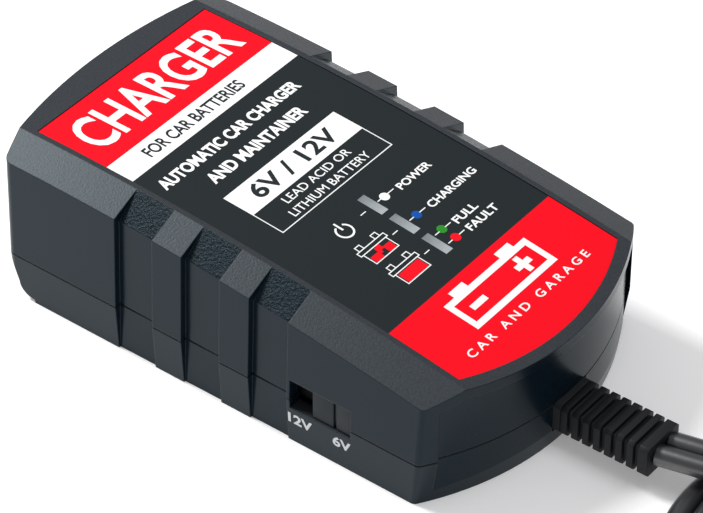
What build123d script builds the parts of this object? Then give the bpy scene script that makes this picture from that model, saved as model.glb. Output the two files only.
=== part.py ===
"""Small 6 V / 12 V car battery charger with a side selector switch and two leads.

Frame: origin on the ground under the middle of the case, +X towards the cable end, +Z up.
The selector is on the -Y side. All sizes are in millimetres.
"""
from math import cos, pi, radians, sin, sqrt, tan
import os

from build123d import *

os.makedirs("parts", exist_ok=True)

# Case: overall sizes
case_length = 120.0
case_width = 70.6  # widest, at the parting line
case_height = 36.5  # at the far end, where the crowned top is highest
parting_height = 11.0
crown_radius = 645.0  # of the top, seen from the side
crown_offset = 5.5  # from the far end to the highest line of the crown
rim_inset = 8.1  # from the widest line in to the edge of the crowned top
bevel_run = 7.1
bevel_drop = 3.05
side_draft = 0.045  # how far each side leans in, per millimetre of height
far_radius = 113.8  # plan radius of the far end
near_radius = 61.0  # plan radius of the cable end
far_corner = 2.0
near_corner = 1.5
base_draft = 0.5  # the lower case is this much narrower at the base, each side
near_draft = 1.6
wall = 2.0
floor_thickness = 2.4
far_wall = 2.2
near_wall = 3.2

# Case: grooves and end panel
groove_width = 9.5
groove_pitch = 16.85
groove_middle = -4.55  # X of the middle groove
groove_count = 3
groove_depth = 1.45
panel_depth = 1.0
corner_post = 3.4  # width of the posts left each side of the end panel
panel_below_rim = 2.3

# Case: joint between the two halves, screws
tongue_height = 1.6
tongue_thickness = 1.1
tongue_step = 0.2  # from the wall of the cavity out to the tongue
tongue_gap = 0.1
seam = 0.3  # width and depth of the fine groove along the parting line
boss_radius = 3.6
boss_from_far = 12.5
boss_from_near = 17.0
boss_from_side = 10.3
screw_radius = 1.4
screw_head_radius = 2.6
screw_head_height = 2.0
screw_seat = 5.0  # height of the screw heads' seat above the base
screw_length = 14.0
bore_gap = 0.2

# Face label, windows
label_thickness = 0.25
label_recess = 0.4
label_gap = 0.1
label_margin = 1.3  # from the rim of the crowned top
label_from_far = 7.05
label_from_near = 2.6
label_radius = 56.4
window_x = (10.9, 18.7, 26.6)
window_y = -0.1
window_length = 6.1
window_width = 2.1
window_gap = 0.06
guide_flange = 1.0

# Rating plate
plate_length = 60.0
plate_width = 34.0
plate_thickness = 0.3
plate_gap = 0.2

# Selector switch
slot_start = 17.8
slot_length = 14.8
slot_height = 7.0
knob_length = 9.45
knob_gap = 0.12
knob_recess = 0.5
knob_depth = 2.6
knob_groove = 0.6
knob_groove_at = 0.7  # from the middle of the knob
stem_size = 3.0
stem_gap = 0.3
switch_length = 19.6
switch_depth = 8.6
switch_height = 7.2
switch_wall = 1.2
slider_length = 4.6
slider_depth = 2.2
slider_height = 4.4
terminal_radius = 0.4
terminal_pitch = 5.0
terminal_row = 3.0
switch_gap = 1.3  # between the knob and the switch

# Circuit board
board_thickness = 1.6
board_below = 4.0  # from the parting line down to its underside
board_from_far = 18.0
board_from_near = 22.0
board_from_side = 6.3
post_inset = 5.0  # from the edges of the board
post_radius = 3.0
board_screw_radius = 1.2

# Strain relief
relief_reach = 20.6  # beyond the case
relief_width = 10.8
relief_height = 7.1
relief_groove = 2.0  # the core is this much smaller than the ribs
relief_chamfer = 0.8
relief_rib = 1.45
relief_pitch = 2.55
relief_ribs = 7
relief_last = 2.2
flange_thickness = 2.4
flange_width = 14.0
flange_gap = 1.7  # inside the end wall
flange_height = 8.1
relief_gap = 0.05

# Leads
lead_diameter = 4.4
lead_spacing = 4.5
mains_length = 1480.0
battery_length = 800.0
coil_radius = 24.0
coil_lift = 0.8  # thickness of the ties, on which the coils rest
tie_width = 5.0
tie_turn = 75.0  # of the first tie, from +X
mains_coil_at = (240.0, 8.2)
battery_coil_at = (179.5, 1.0)
mains_strands = 3  # strands across the section of each coil
battery_strands = 2

# Plug and battery connector
rest_gap = 0.3  # above the coil that each lies on
plug_width = 35.3
plug_thickness = 13.7
plug_length = 36.0
plug_rear_width = 13.0
plug_rear_thickness = 9.0
pin_radius = 2.0
pin_length = 19.0
pin_spacing = 18.6
connector_length = 26.0
connector_neck = 9.0
connector_width = 15.0
connector_thickness = 7.6
contact_radius = 1.9
contact_length = 11.0
shroud_radius = 3.3

MIN = (Align.CENTER, Align.CENTER, Align.MIN)
MAX = (Align.CENTER, Align.CENTER, Align.MAX)
FRONT = (Align.CENTER, Align.MAX, Align.CENTER)
REAR = (Align.CENTER, Align.MIN, Align.CENTER)
LEFT = (Align.MIN, Align.CENTER, Align.CENTER)

far_x = -case_length / 2
near_x = case_length / 2
crown_x = far_x + crown_offset
rim_half = case_width / 2 - rim_inset
panel_half = case_width / 2 - corner_post
label_half = rim_half - label_margin
label_far = far_x + label_from_far
label_near = near_x - label_from_near
board_far = far_x + board_from_far
board_near = near_x - board_from_near
board_half = case_width / 2 - board_from_side
board_z = parting_height - board_below
board_top = board_z + board_thickness
slot_middle = board_top + switch_height / 2
relief_end = near_x + relief_reach
lead_radius = lead_diameter / 2
boss_places = [
    (x, s * (case_width / 2 - boss_from_side))
    for x in (far_x + boss_from_far, near_x - boss_from_near)
    for s in (-1, 1)
]
post_places = [
    (board_far + post_inset, post_inset - board_half),
    (board_far + post_inset, board_half - post_inset),
    (board_near - post_inset, board_half - post_inset),
    (10.0, post_inset - board_half),
]


def save(part, name):
    part.label = name
    export_step(part, f"parts/{name}.step")


def wall_half(z, inset=0.0):
    """Half width of the case at a height above the parting line."""
    return case_width / 2 - side_draft * (z - parting_height) - inset


def plan(half, far=0.0, near=0.0, rounded=True):
    """Plan outline of the case: two straight sides between two bowed ends."""
    x_far = far_x + far + far_radius - sqrt(far_radius**2 - half**2)
    x_near = near_x - near - near_radius + sqrt(near_radius**2 - half**2)
    with BuildSketch() as outline:
        with BuildLine():
            ThreePointArc((x_far, -half), (far_x + far, 0), (x_far, half))
            Line((x_far, half), (x_near, half))
            ThreePointArc((x_near, half), (near_x - near, 0), (x_near, -half))
            Line((x_near, -half), (x_far, -half))
        make_face()
        if rounded:
            fillet(outline.vertices().group_by(Axis.X)[0], far_corner)
            fillet(outline.vertices().group_by(Axis.X)[-1], near_corner)
    return outline.sketch


def crowned(points, lower=0.0):
    """Everything under a crowned top, whose section falls away as (half width, drop) pairs."""
    top = case_height - lower
    (y1, d1), (y2, d2) = points[-2:]
    reach = case_width / 2 + 8
    points = points + [(reach, d2 + (d2 - d1) / (y2 - y1) * (reach - y2))]
    outline = [(y, top - d) for y, d in points] + [(reach, -30)]
    with BuildPart() as body:
        with BuildSketch(Plane.YZ.offset(crown_x)):
            with BuildLine():
                Polyline(*outline, *[(-y, z) for y, z in reversed(outline)], close=True)
            make_face()
        revolve(axis=Axis((crown_x, 0, case_height - crown_radius), (0, 1, 0)), revolution_arc=14)
        mirror(about=Plane.YZ.offset(crown_x))
    return body.part


def drafted(z0, z1, inset=0.0, far=0.0, near=0.0, rounded=True):
    """Block with the case's leaning sides, between two heights."""
    with BuildPart() as body:
        for z in (z0, z1):
            with BuildSketch(Plane.XY.offset(z)):
                add(plan(wall_half(z, inset), far, near, rounded))
        loft()
    return body.part


bevel_slope = bevel_drop / bevel_run
outer_section = [(rim_half, 0.0), (rim_half + bevel_run, bevel_drop)]
groove_section = [(rim_half, 0.0), (rim_half + 5.85, 4.37), (rim_half + 6.25, 5.3)]
inner_section = [(rim_half - wall, 0.0), (rim_half + 4.9 - wall, 5.8), (rim_half + 7.0, 16.0)]
roof = case_height + 2
cavity_inset = groove_depth + wall
groove_centres = [
    groove_middle + (i - (groove_count - 1) / 2) * groove_pitch for i in range(groove_count)
]


def grooves():
    """What the side grooves take away: slabs outside a narrower copy of the case."""
    span = (groove_count + 1) * groove_pitch
    with BuildPart() as core:
        add(drafted(-5, roof, inset=groove_depth, rounded=False))
        add(crowned(groove_section), mode=Mode.INTERSECT)
    with BuildPart() as cut:
        with Locations(*[(x, s * (rim_half + 10), roof / 2) for x in groove_centres for s in (-1, 1)]):
            Box(groove_width, 20, span)
        add(core.part, mode=Mode.SUBTRACT)
    return cut.part


def end_panel():
    """Shallow recess across the cable end, between the two corner posts."""
    with BuildPart() as cut:
        with BuildSketch(Plane.XY.offset(-1)):
            Circle(near_radius + 5)
            Circle(near_radius - panel_depth, mode=Mode.SUBTRACT)
        extrude(amount=roof)
        with Locations((near_radius, 0, roof / 2)):
            Box(2 * near_radius, 2 * panel_half, 2 * roof, mode=Mode.INTERSECT)
    return Pos(near_x - near_radius, 0, 0) * cut.part


def cavity():
    with BuildPart() as hollow:
        add(drafted(floor_thickness, roof, cavity_inset, far_wall, near_wall, rounded=False))
        add(crowned(inner_section, lower=wall + label_recess), mode=Mode.INTERSECT)
    return hollow.part


def tongue_plan(out):
    """Outline at the parting line, outside the wall of the cavity."""
    return plan(wall_half(parting_height, cavity_inset) + out, far_wall - out, near_wall - out, False)


def tongue():
    """Ring on the lower case that enters the upper case along the inside of the wall."""
    with BuildPart() as rim:
        with BuildSketch(Plane.XY.offset(parting_height)):
            add(tongue_plan(tongue_step + tongue_thickness))
            add(tongue_plan(tongue_step), mode=Mode.SUBTRACT)
        extrude(amount=tongue_height)
    return rim.part


def tongue_room():
    """Space that the tongue needs in the upper case."""
    with BuildPart() as room:
        with BuildSketch(Plane.XY.offset(parting_height)):
            add(tongue_plan(tongue_step + tongue_thickness + tongue_gap))
        extrude(amount=tongue_height + tongue_gap)
    return room.part


def seam_core():
    """Plan of what the seam leaves standing, inside the grooves and the end panel."""
    with BuildSketch() as end:
        with Locations((near_x, 0)):
            Rectangle(near_radius, 2 * (panel_half + seam))
        with Locations((near_x - near_radius, 0)):
            Circle(near_radius - panel_depth - seam, mode=Mode.SUBTRACT)
    reach = case_width / 2
    with BuildSketch() as core:
        add(plan(case_width / 2 - seam, seam, seam))
        with Locations(*[(x, s * (1.5 * reach - groove_depth - seam)) for x in groove_centres for s in (-1, 1)]):
            Rectangle(groove_width + 2 * seam, reach, mode=Mode.SUBTRACT)
        add(end.sketch, mode=Mode.SUBTRACT)
    return core.sketch


def seam_cut():
    """Fine groove round the case, just under the parting line."""
    with BuildPart() as cut:
        with BuildSketch(Plane.XY.offset(parting_height - seam)):
            Rectangle(2 * case_length, 2 * case_width)
            add(seam_core(), mode=Mode.SUBTRACT)
        extrude(amount=seam)
    return cut.part


slot_x = slot_start + slot_length / 2
panel = end_panel()
hollow = cavity()
groove_cut = grooves()
top_skin = crowned(outer_section, lower=label_recess - label_thickness)
label_floor = crowned(outer_section, lower=label_recess)


def label_outline(gap):
    """Straight far edge, straight sides and a bowed edge at the cable end."""
    half = label_half + gap
    corner = label_near - label_radius + sqrt(label_radius**2 - label_half**2)
    with BuildSketch() as outline:
        with BuildLine():
            Polyline((corner, half), (label_far - gap, half), (label_far - gap, -half), (corner, -half))
            ThreePointArc((corner, -half), (label_near + gap, 0), (corner, half))
        make_face()
    return outline.sketch


# ---------------------------------------------------------------- case

with BuildPart() as panel_cut:
    add(panel)
    add(crowned(outer_section, lower=panel_below_rim), mode=Mode.INTERSECT)

with BuildPart() as bosses:
    with Locations(*[(x, y, parting_height) for x, y in boss_places]):
        Cylinder(boss_radius, roof, align=MIN)
    add(crowned(outer_section, lower=1.5), mode=Mode.INTERSECT)

with BuildPart() as label_pocket:
    with BuildSketch(Plane.XY.offset(parting_height)):
        add(label_outline(label_gap))
    extrude(amount=roof)
    add(label_floor, mode=Mode.SUBTRACT)

with BuildPart() as upper_case:
    add(drafted(parting_height, roof))
    add(crowned(outer_section), mode=Mode.INTERSECT)
    add(groove_cut, mode=Mode.SUBTRACT)
    add(panel_cut.part, mode=Mode.SUBTRACT)
    add(hollow, mode=Mode.SUBTRACT)
    add(tongue_room(), mode=Mode.SUBTRACT)
    add(bosses.part)
    with Locations(*[(x, y, parting_height) for x, y in boss_places]):
        Cylinder(screw_radius, screw_length, mode=Mode.SUBTRACT)
    with Locations((slot_x, -case_width / 2, slot_middle)):
        Box(slot_length, 2 * (cavity_inset + 1), slot_height, mode=Mode.SUBTRACT)
    with Locations(*[(x, window_y, case_height - 8) for x in window_x]):
        Box(window_length + 2 * window_gap, window_width + 2 * window_gap, 20, mode=Mode.SUBTRACT)
    add(label_pocket.part, mode=Mode.SUBTRACT)
save(upper_case.part, "upper_case")

with BuildPart() as face_label:
    with BuildSketch(Plane.XY.offset(parting_height)):
        add(label_outline(0))
    extrude(amount=roof)
    add(top_skin, mode=Mode.INTERSECT)
    add(label_floor, mode=Mode.SUBTRACT)
    with Locations(*[(x, window_y, case_height - 5) for x in window_x]):
        Box(window_length + 2 * window_gap, window_width + 2 * window_gap, 20, mode=Mode.SUBTRACT)
save(face_label.part, "face_label")


def rounded_foot():
    """Far end of the lower case: leaning wall, round lower edge and a small step up from the base."""
    lean = 2.1
    edge = 3.2
    step = 0.8
    r = far_radius
    with BuildPart() as foot:
        with BuildSketch(Plane.XZ):
            with BuildLine():
                Polyline((0, roof), (-r, roof), (-r, parting_height), (lean - r, step + edge))
                ThreePointArc((lean - r, step + edge), (lean - r + 0.3 * edge, step + 0.3 * edge),
                              (lean - r + edge, step))
                Polyline((lean - r + edge, step), (lean - r + edge + 0.4, step),
                         (lean - r + edge + 0.4, 0), (0, 0), (0, roof))
            make_face()
        revolve(axis=Axis.Z)
    return Pos(far_x + far_radius, 0, 0) * foot.part


with BuildPart() as lower_case:
    with BuildSketch(Plane.XY.offset(parting_height)):
        add(plan(case_width / 2))
    with BuildSketch():
        add(plan(case_width / 2 - base_draft, near=near_draft))
    loft()
    add(rounded_foot(), mode=Mode.INTERSECT)
    add(groove_cut, mode=Mode.SUBTRACT)
    add(panel, mode=Mode.SUBTRACT)
    add(seam_cut(), mode=Mode.SUBTRACT)
    add(hollow, mode=Mode.SUBTRACT)
    add(tongue())
    with Locations(*[(x, y, 1) for x, y in boss_places]):
        Cylinder(boss_radius, parting_height - 1, align=MIN)
    with Locations(*[(x, y, 1) for x, y in post_places]):
        Cylinder(post_radius, board_z - 1, align=MIN)
    with Locations(*[(x, y, floor_thickness) for x, y in post_places]):
        Cylinder(board_screw_radius, board_z, mode=Mode.SUBTRACT, align=MIN)
    with Locations(*[(x, y, 0) for x, y in boss_places]):
        Cylinder(screw_radius + bore_gap, parting_height, mode=Mode.SUBTRACT, align=MIN)
        Cylinder(screw_head_radius + bore_gap, screw_seat, mode=Mode.SUBTRACT, align=MIN)
    with Locations((slot_x, -case_width / 2, slot_middle)):
        Box(slot_length, 2 * (cavity_inset + 1), slot_height, mode=Mode.SUBTRACT)
    with Locations((near_x, 0, parting_height - relief_height - relief_gap)):
        Box(2 * near_wall + 4, relief_width + 2 * relief_gap, roof, mode=Mode.SUBTRACT, align=MIN)
    Box(plate_length + 2 * plate_gap, plate_width + 2 * plate_gap, 2 * plate_thickness, mode=Mode.SUBTRACT)
save(lower_case.part, "lower_case")

with BuildPart() as rating_plate:
    Box(plate_length, plate_width, plate_thickness, align=MIN)
save(rating_plate.part, "rating_plate")

with BuildPart() as case_screws:
    with Locations(*[(x, y, screw_seat) for x, y in boss_places]):
        Cylinder(screw_head_radius, screw_head_height, align=MAX)
    with Locations(*[(x, y, screw_seat - 0.1) for x, y in boss_places]):
        Cylinder(screw_radius, screw_length - 2, align=MIN)
save(case_screws.part, "case_screws")

# ---------------------------------------------------------------- circuit board

knob_face = -wall_half(slot_middle) + knob_recess
switch_face = knob_face + knob_depth + switch_gap
terminal_places = [
    (slot_x + (i - 1) * terminal_pitch, switch_face + switch_depth / 2 + j * terminal_row / 2)
    for i in range(3)
    for j in (-1, 1)
]

with BuildPart() as circuit_board:
    with Locations(((board_far + board_near) / 2, 0, board_z)):
        Box(board_near - board_far, 2 * board_half, board_thickness, align=MIN)
    with Locations(*[(x, y, board_z) for x, y in post_places]):
        Cylinder(board_screw_radius + bore_gap, 2 * board_thickness, mode=Mode.SUBTRACT)
    with Locations(*[(x, y, board_z) for x, y in terminal_places]):
        Cylinder(terminal_radius + 0.1, 4 * board_thickness, mode=Mode.SUBTRACT)
save(circuit_board.part, "circuit_board")

with BuildPart() as board_screws:
    with Locations(*[(x, y, board_top) for x, y in post_places]):
        Cylinder(2.3, 1.6, align=MIN)
    with Locations(*[(x, y, board_top + 0.1) for x, y in post_places]):
        Cylinder(board_screw_radius, 5.6, align=MAX)
save(board_screws.part, "board_screws")


def on_board(name, x, y, length, width, height, edge=0.0):
    """Boxed component standing on the board."""
    with BuildPart() as body:
        with Locations((x, y, board_top)):
            Box(length, width, height, align=MIN)
        if edge:
            fillet(body.edges().filter_by(Axis.Z), edge)
    save(body.part, name)


def can(name, x, y, radius, height, edge=0.6):
    """Round component standing on the board."""
    with BuildPart() as body:
        with Locations((x, y, board_top)):
            Cylinder(radius, height, align=MIN)
        fillet(body.edges().group_by(Axis.Z)[-1], edge)
    save(body.part, name)


def disc(name, x, y, radius, thickness):
    """Round flat component standing on its edge, with two short legs to the board."""
    with BuildPart() as body:
        with BuildSketch(Plane.XZ.offset(-y)):
            with Locations((x, board_top + radius + 1.5)):
                Circle(radius)
        extrude(amount=thickness / 2, both=True)
        with Locations(*[(x + s * radius * 0.5, y, board_top) for s in (-1, 1)]):
            Cylinder(0.4, radius + 1, align=MIN)
    save(body.part, name)


on_board("x_capacitor", 26, 11, 18, 8.5, 14, 0.8)
on_board("bridge_rectifier", -17, 24.6, 14, 5, 10)
on_board("optocoupler", -4, 3, 6.5, 5, 3.6)
on_board("charge_controller", 22, -9, 15, 6.4, 3.4)
can("input_capacitor", -24, 14, 7.5, 20)
can("output_capacitor", 5, -9, 5, 16)
disc("varistor", 10.8, 16, 5, 4)
disc("y_capacitor", -33, -22, 4, 3)

fuse_at = (26, 18.4)
fuse_radius = 2.6
fuse_height = board_top + 3.6
with BuildPart() as fuse:
    with BuildSketch(Plane.YZ.offset(fuse_at[0] - 10)):
        with Locations((fuse_at[1], fuse_height)):
            Circle(fuse_radius - 0.3)
    extrude(amount=20)
save(fuse.part, "fuse")

with BuildPart() as fuse_clips:
    for x in (fuse_at[0] - 10, fuse_at[0] + 5.5):
        with BuildSketch(Plane.YZ.offset(x)):
            with Locations((fuse_at[1], fuse_height)):
                Circle(fuse_radius + 0.4)
                Circle(fuse_radius - 0.3, mode=Mode.SUBTRACT)
            with Locations((fuse_at[1], board_top)):
                Rectangle(3, fuse_height - board_top - fuse_radius, align=(Align.CENTER, Align.MIN))
        extrude(amount=4.5)
save(fuse_clips.part, "fuse_clips")

choke_at = (-2, 20)
with BuildPart() as choke_core:
    with BuildSketch(Plane.XY.offset(board_top + 1.5)):
        with Locations(choke_at):
            Circle(6.5)
            Circle(3.4, mode=Mode.SUBTRACT)
    extrude(amount=6)

with BuildPart() as choke_windings:
    with BuildSketch(Plane.XY.offset(board_top)):
        with Locations(choke_at):
            Circle(7.8)
            Circle(2.1, mode=Mode.SUBTRACT)
            Rectangle(3, 20, mode=Mode.SUBTRACT)
    extrude(amount=9)
    add(choke_core.part, mode=Mode.SUBTRACT)
save(choke_core.part, "choke_core")
save(choke_windings.part, "choke_windings")

spreader_y = -22.0
spreader_x = -8.0
with BuildPart() as heat_spreader:
    with Locations((spreader_x, spreader_y, board_top)):
        Box(26, 1.6, 19, align=MIN)
    with BuildSketch(Plane.XZ.offset(-spreader_y)):
        with Locations((spreader_x - 6.5, board_top + 15.5), (spreader_x + 6.5, board_top + 15.5)):
            Circle(1.5)
    extrude(amount=2, both=True, mode=Mode.SUBTRACT)
save(heat_spreader.part, "heat_spreader")


def power_device(name, x):
    """Flat power package, its tab held against the heat spreader."""
    face = spreader_y + 0.8
    with BuildPart() as body:
        with Locations((x, face, board_top + 3)):
            Box(10, 4.4, 9, align=(Align.CENTER, Align.MIN, Align.MIN))
        with Locations((x, face, board_top + 12)):
            Box(10, 1.3, 6.4, align=(Align.CENTER, Align.MIN, Align.MIN))
        with BuildSketch(Plane.XZ.offset(-face)):
            with Locations((x, board_top + 15.5)):
                Circle(1.6)
        extrude(amount=-3, mode=Mode.SUBTRACT)
        with Locations(*[(x + i * 2.54, face + 2.4, board_top) for i in (-1, 0, 1)]):
            Box(0.8, 0.5, 3.1, align=MIN)
    save(body.part, name)


power_device("power_transistor", spreader_x - 6.5)
power_device("output_diode", spreader_x + 6.5)

with BuildPart() as device_screws:
    for x in (spreader_x - 6.5, spreader_x + 6.5):
        with BuildSketch(Plane.XZ.offset(-(spreader_y + 2.1))):
            with Locations((x, board_top + 15.5)):
                Circle(2.6)
        extrude(amount=-1.8)
        with BuildSketch(Plane.XZ.offset(-(spreader_y + 2.2))):
            with Locations((x, board_top + 15.5)):
                Circle(1.35)
        extrude(amount=5)
save(device_screws.part, "device_screws")

# Transformer: two E halves round the middle of a bobbin, drawn as one core
trafo_at = (-25, -7)
core_width = 25.0
core_depth = 7.0
core_height = 21.0
core_leg = 7.0
core_arm = 3.5
core_window = (core_width - core_leg) / 2 - core_arm
coil_former = 0.8
trafo_base = board_top + 1.0
with BuildPart() as transformer_core:
    with BuildSketch(Plane.XZ.offset(-trafo_at[1])):
        with Locations((trafo_at[0], trafo_base + core_height / 2)):
            Rectangle(core_width, core_height)
        shift = core_leg / 2 + core_window / 2
        with Locations(*[(trafo_at[0] + s * shift, trafo_base + core_height / 2) for s in (-1, 1)]):
            Rectangle(core_window, core_height - 2 * core_arm, mode=Mode.SUBTRACT)
    extrude(amount=core_depth / 2, both=True)
save(transformer_core.part, "transformer_core")

window_height = core_height - 2 * core_arm - 0.2
former_size = (core_leg + 2 * coil_former + 0.2, core_depth + 2 * coil_former + 0.2)
middle = Location((*trafo_at, trafo_base + core_height / 2))
with BuildPart() as transformer_bobbin:
    with Locations(middle):
        Box(*former_size, window_height)
    for s in (-1, 1):
        with Locations((*trafo_at, trafo_base + core_height / 2 + s * (window_height - coil_former) / 2)):
            Box(core_leg + 2 * core_window - 0.4, core_depth + 2 * core_window - 0.4, coil_former)
    with Locations(middle):
        Box(core_leg + 0.2, core_depth + 0.2, window_height + 2, mode=Mode.SUBTRACT)
save(transformer_bobbin.part, "transformer_bobbin")

with BuildPart() as transformer_winding:
    with Locations(middle):
        Box(core_leg + 2 * core_window - 1.0, core_depth + 2 * core_window - 1.0,
            window_height - 2 * coil_former)
    fillet(transformer_winding.edges().filter_by(Axis.Z), 2.5)
    with Locations(middle):
        Box(*former_size, window_height, mode=Mode.SUBTRACT)
save(transformer_winding.part, "transformer_winding")

# ---------------------------------------------------------------- indicators

led_height = 4.6
led_radius = 1.5
guide_start = board_top + led_height + 0.4
under_roof = crowned(outer_section, lower=wall + label_recess)
under_flange = crowned(outer_section, lower=wall + label_recess + guide_flange)


def window_flange(x):
    """Flange of a light guide, against the underside of the top."""
    with BuildPart() as flange:
        with Locations((x, window_y, guide_start)):
            Box(window_length, window_width + 2 * guide_flange, roof, align=MIN)
        add(under_roof, mode=Mode.INTERSECT)
        add(under_flange, mode=Mode.SUBTRACT)
    return flange.part


for name, x in zip(("power", "charge", "status"), window_x):
    with BuildPart() as led:
        with Locations((x, window_y, board_top)):
            Cylinder(led_radius, led_height - led_radius, align=MIN)
        with Locations((x, window_y, board_top + led_height - led_radius)):
            Sphere(led_radius)
    save(led.part, f"{name}_led")
    with BuildPart() as guide:
        with Locations((x, window_y, guide_start)):
            Box(window_length, window_width, roof, align=MIN)
        add(window_flange(x))
        add(top_skin, mode=Mode.INTERSECT)
    save(guide.part, f"{name}_light_guide")

# ---------------------------------------------------------------- selector switch

travel = slot_length - knob_length - 2 * knob_gap
knob_x = slot_start + slot_length - knob_gap - knob_length / 2
switch_middle = knob_x - travel / 2
stem_end = switch_face + switch_depth - switch_wall - 1.4

with BuildPart() as selector_knob:
    with Locations((knob_x, knob_face, slot_middle)):
        Box(knob_length, knob_depth, slot_height - 2 * knob_gap, align=REAR)
    fillet(selector_knob.edges().group_by(Axis.Y)[0], 0.25)
    with Locations((knob_x + knob_groove_at, knob_face, slot_middle)):
        Box(knob_groove, 2 * knob_groove, slot_height, mode=Mode.SUBTRACT)
    with Locations((knob_x, knob_face + knob_depth, slot_middle)):
        Box(stem_size, stem_end - knob_face - knob_depth, stem_size, align=REAR)
save(selector_knob.part, "selector_knob")

cavity_length = slider_length + travel + 1.0
with BuildPart() as switch_body:
    with Locations((switch_middle, switch_face, board_top)):
        Box(switch_length, switch_depth, switch_height, align=(Align.CENTER, Align.MIN, Align.MIN))
    with Locations((switch_middle, switch_face + switch_wall, slot_middle)):
        Box(cavity_length, switch_depth - 2 * switch_wall, slider_height + 2 * stem_gap,
            mode=Mode.SUBTRACT, align=REAR)
    with Locations((switch_middle, switch_face, slot_middle)):
        Box(stem_size + travel + 2 * stem_gap, 3 * switch_wall, stem_size + 2 * stem_gap, mode=Mode.SUBTRACT)
save(switch_body.part, "switch_body")

with BuildPart() as contact_slider:
    with Locations((knob_x, stem_end - 0.3, slot_middle)):
        Box(slider_length, slider_depth, slider_height, align=FRONT)
        Box(stem_size, slider_depth, stem_size, mode=Mode.SUBTRACT, align=FRONT)
save(contact_slider.part, "contact_slider")

with BuildPart() as switch_terminals:
    with Locations(*[(x, y, board_top) for x, y in terminal_places]):
        Cylinder(terminal_radius, board_thickness + 1.5, align=MAX)
save(switch_terminals.part, "switch_terminals")

# ---------------------------------------------------------------- strain relief and inner wires

relief_z = parting_height - relief_height / 2
flange_x = near_x - near_wall - flange_gap - flange_thickness
wire_end = board_near - 1.8
rib_ends = [relief_end - relief_last - (i + 1) * relief_pitch for i in range(relief_ribs)]
with BuildPart() as relief_neck:
    with Locations((flange_x, 0, relief_z)):
        Box(near_x + 0.4 - flange_x, relief_width, relief_height, align=LEFT)
        Box(relief_end - flange_x, relief_width - relief_groove, relief_height - relief_groove, align=LEFT)
    with Locations(*[(x, 0, relief_z) for x in rib_ends]):
        Box(relief_rib, relief_width, relief_height, align=LEFT)
    with Locations((relief_end - relief_last, 0, relief_z)):
        Box(relief_last, relief_width, relief_height, align=LEFT)
    outside = [e for e in relief_neck.edges().filter_by(Axis.X)
               if abs(abs(e.center().Y) - relief_width / 2) < 0.01]
    chamfer(outside, relief_chamfer)

with BuildPart() as strain_relief:
    with Locations((flange_x, 0, relief_z)):
        Box(flange_thickness, flange_width, flange_height, align=LEFT)
    add(relief_neck.part)
save(strain_relief.part, "strain_relief")

relief_side = lead_spacing / 2


def wires(name, side, ends):
    """Two insulated cores from the inside of the strain relief down to the board."""
    with BuildPart() as pair:
        for i, end in enumerate(ends):
            y = side + (i - 0.5) * 2.0
            with BuildLine() as path:
                FilletPolyline((flange_x, y, relief_z), (flange_x - 5, y, relief_z), (*end, board_top + 5),
                               (*end, board_top), radius=1.5)
            with BuildSketch(Plane(origin=path.line @ 0, z_dir=path.line % 0)):
                Circle(0.8)
            sweep(path=path.line)
    save(pair.part, name)


wires("mains_wires", relief_side, ((wire_end, 7.0), (wire_end, 12.0)))
wires("battery_wires", -relief_side, ((wire_end, -11.0), (wire_end, -6.0)))

# ---------------------------------------------------------------- leads

# Points that the leads are bent round, on the ground where Z is the lead's radius
mains_route = [
    (80.6, 2.9, 7.5), (94.0, 5.4, 8.3), (110.0, 9.6, 7.0), (126.5, 10.2, 4.0), (140.5, 1.5, 2.4),
    (146.8, -13.5, 2.2), (144.0, -28.6, 2.2), (132.5, -39.2, 2.2), (116.0, -42.2, 2.2), (101.8, -35.2, 2.2),
    (93.7, -21.5, 2.2), (88.3, -2.0, 2.2), (92.7, 17.2, 2.2), (104.5, 30.0, 2.2), (121.5, 35.2, 2.2),
    (140.0, 34.8, 2.2), (160.0, 33.0, 2.2), (181.0, 32.3, 2.2), (202.0, 32.4, 2.2), (222.5, 32.2, 2.2),
]
battery_route = [
    (80.6, -1.6, 7.5), (94.0, 0.9, 8.3), (110.5, 4.6, 8.7), (126.5, 6.2, 8.6), (141.0, -0.8, 7.0),
    (146.9, -15.0, 6.7), (143.6, -29.5, 6.7), (132.0, -38.9, 6.7), (116.2, -41.0, 6.7), (104.4, -32.4, 5.2),
    (98.2, -20.3, 2.6), (92.8, -1.6, 2.2), (97.0, 15.3, 2.2), (107.8, 26.4, 2.2), (122.9, 30.4, 2.2),
    (140.0, 29.6, 2.2), (156.0, 27.9, 2.2), (171.5, 27.2, 2.2),
]
# How far each point of a tail has climbed, from inside the coil to the middle of what lies on it
tail_rise = (0.0, 0.2, 0.7, 1.0, 1.0)


def lead(name, route):
    """Tube along straight runs joined by arcs as large as the runs allow."""
    points = [Vector(*p) for p in route]
    radii = []
    for a, b, c in zip(points, points[1:], points[2:]):
        turn = radians((b - a).get_angle(c - b))
        radii.append(0.45 * min((b - a).length, (c - b).length) / tan(turn / 2))
    with BuildPart() as tube:
        with BuildLine() as path:
            FilletPolyline(*points, radius=radii)
        with BuildSketch(Plane(origin=path.line @ 0, z_dir=path.line % 0)):
            Circle(lead_radius)
        sweep(path=path.line)
    length = sum(edge.length for edge in path.edges())
    section = pi * lead_radius**2
    print(name, "radii", [round(r) for r in radii], "length", round(length, 1),
          "volume over section times length", round(tube.part.volume / (section * length), 4))
    save(tube.part, name)
    return length


def tail_route(coil_at, top, rise):
    """Three sides of a polygon round the coil, clockwise, climbing to the middle of what lies on it."""
    reach = coil_radius / cos(radians(18))
    start = top - 0.75 * lead_diameter
    turns = [radians(a) for a in (36, 0, -36, -72, -108)]
    return [
        (coil_at[0] + reach * cos(t), coil_at[1] + reach * sin(t), start + (rise - start) * f)
        for t, f in zip(turns, tail_rise)
    ]


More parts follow.
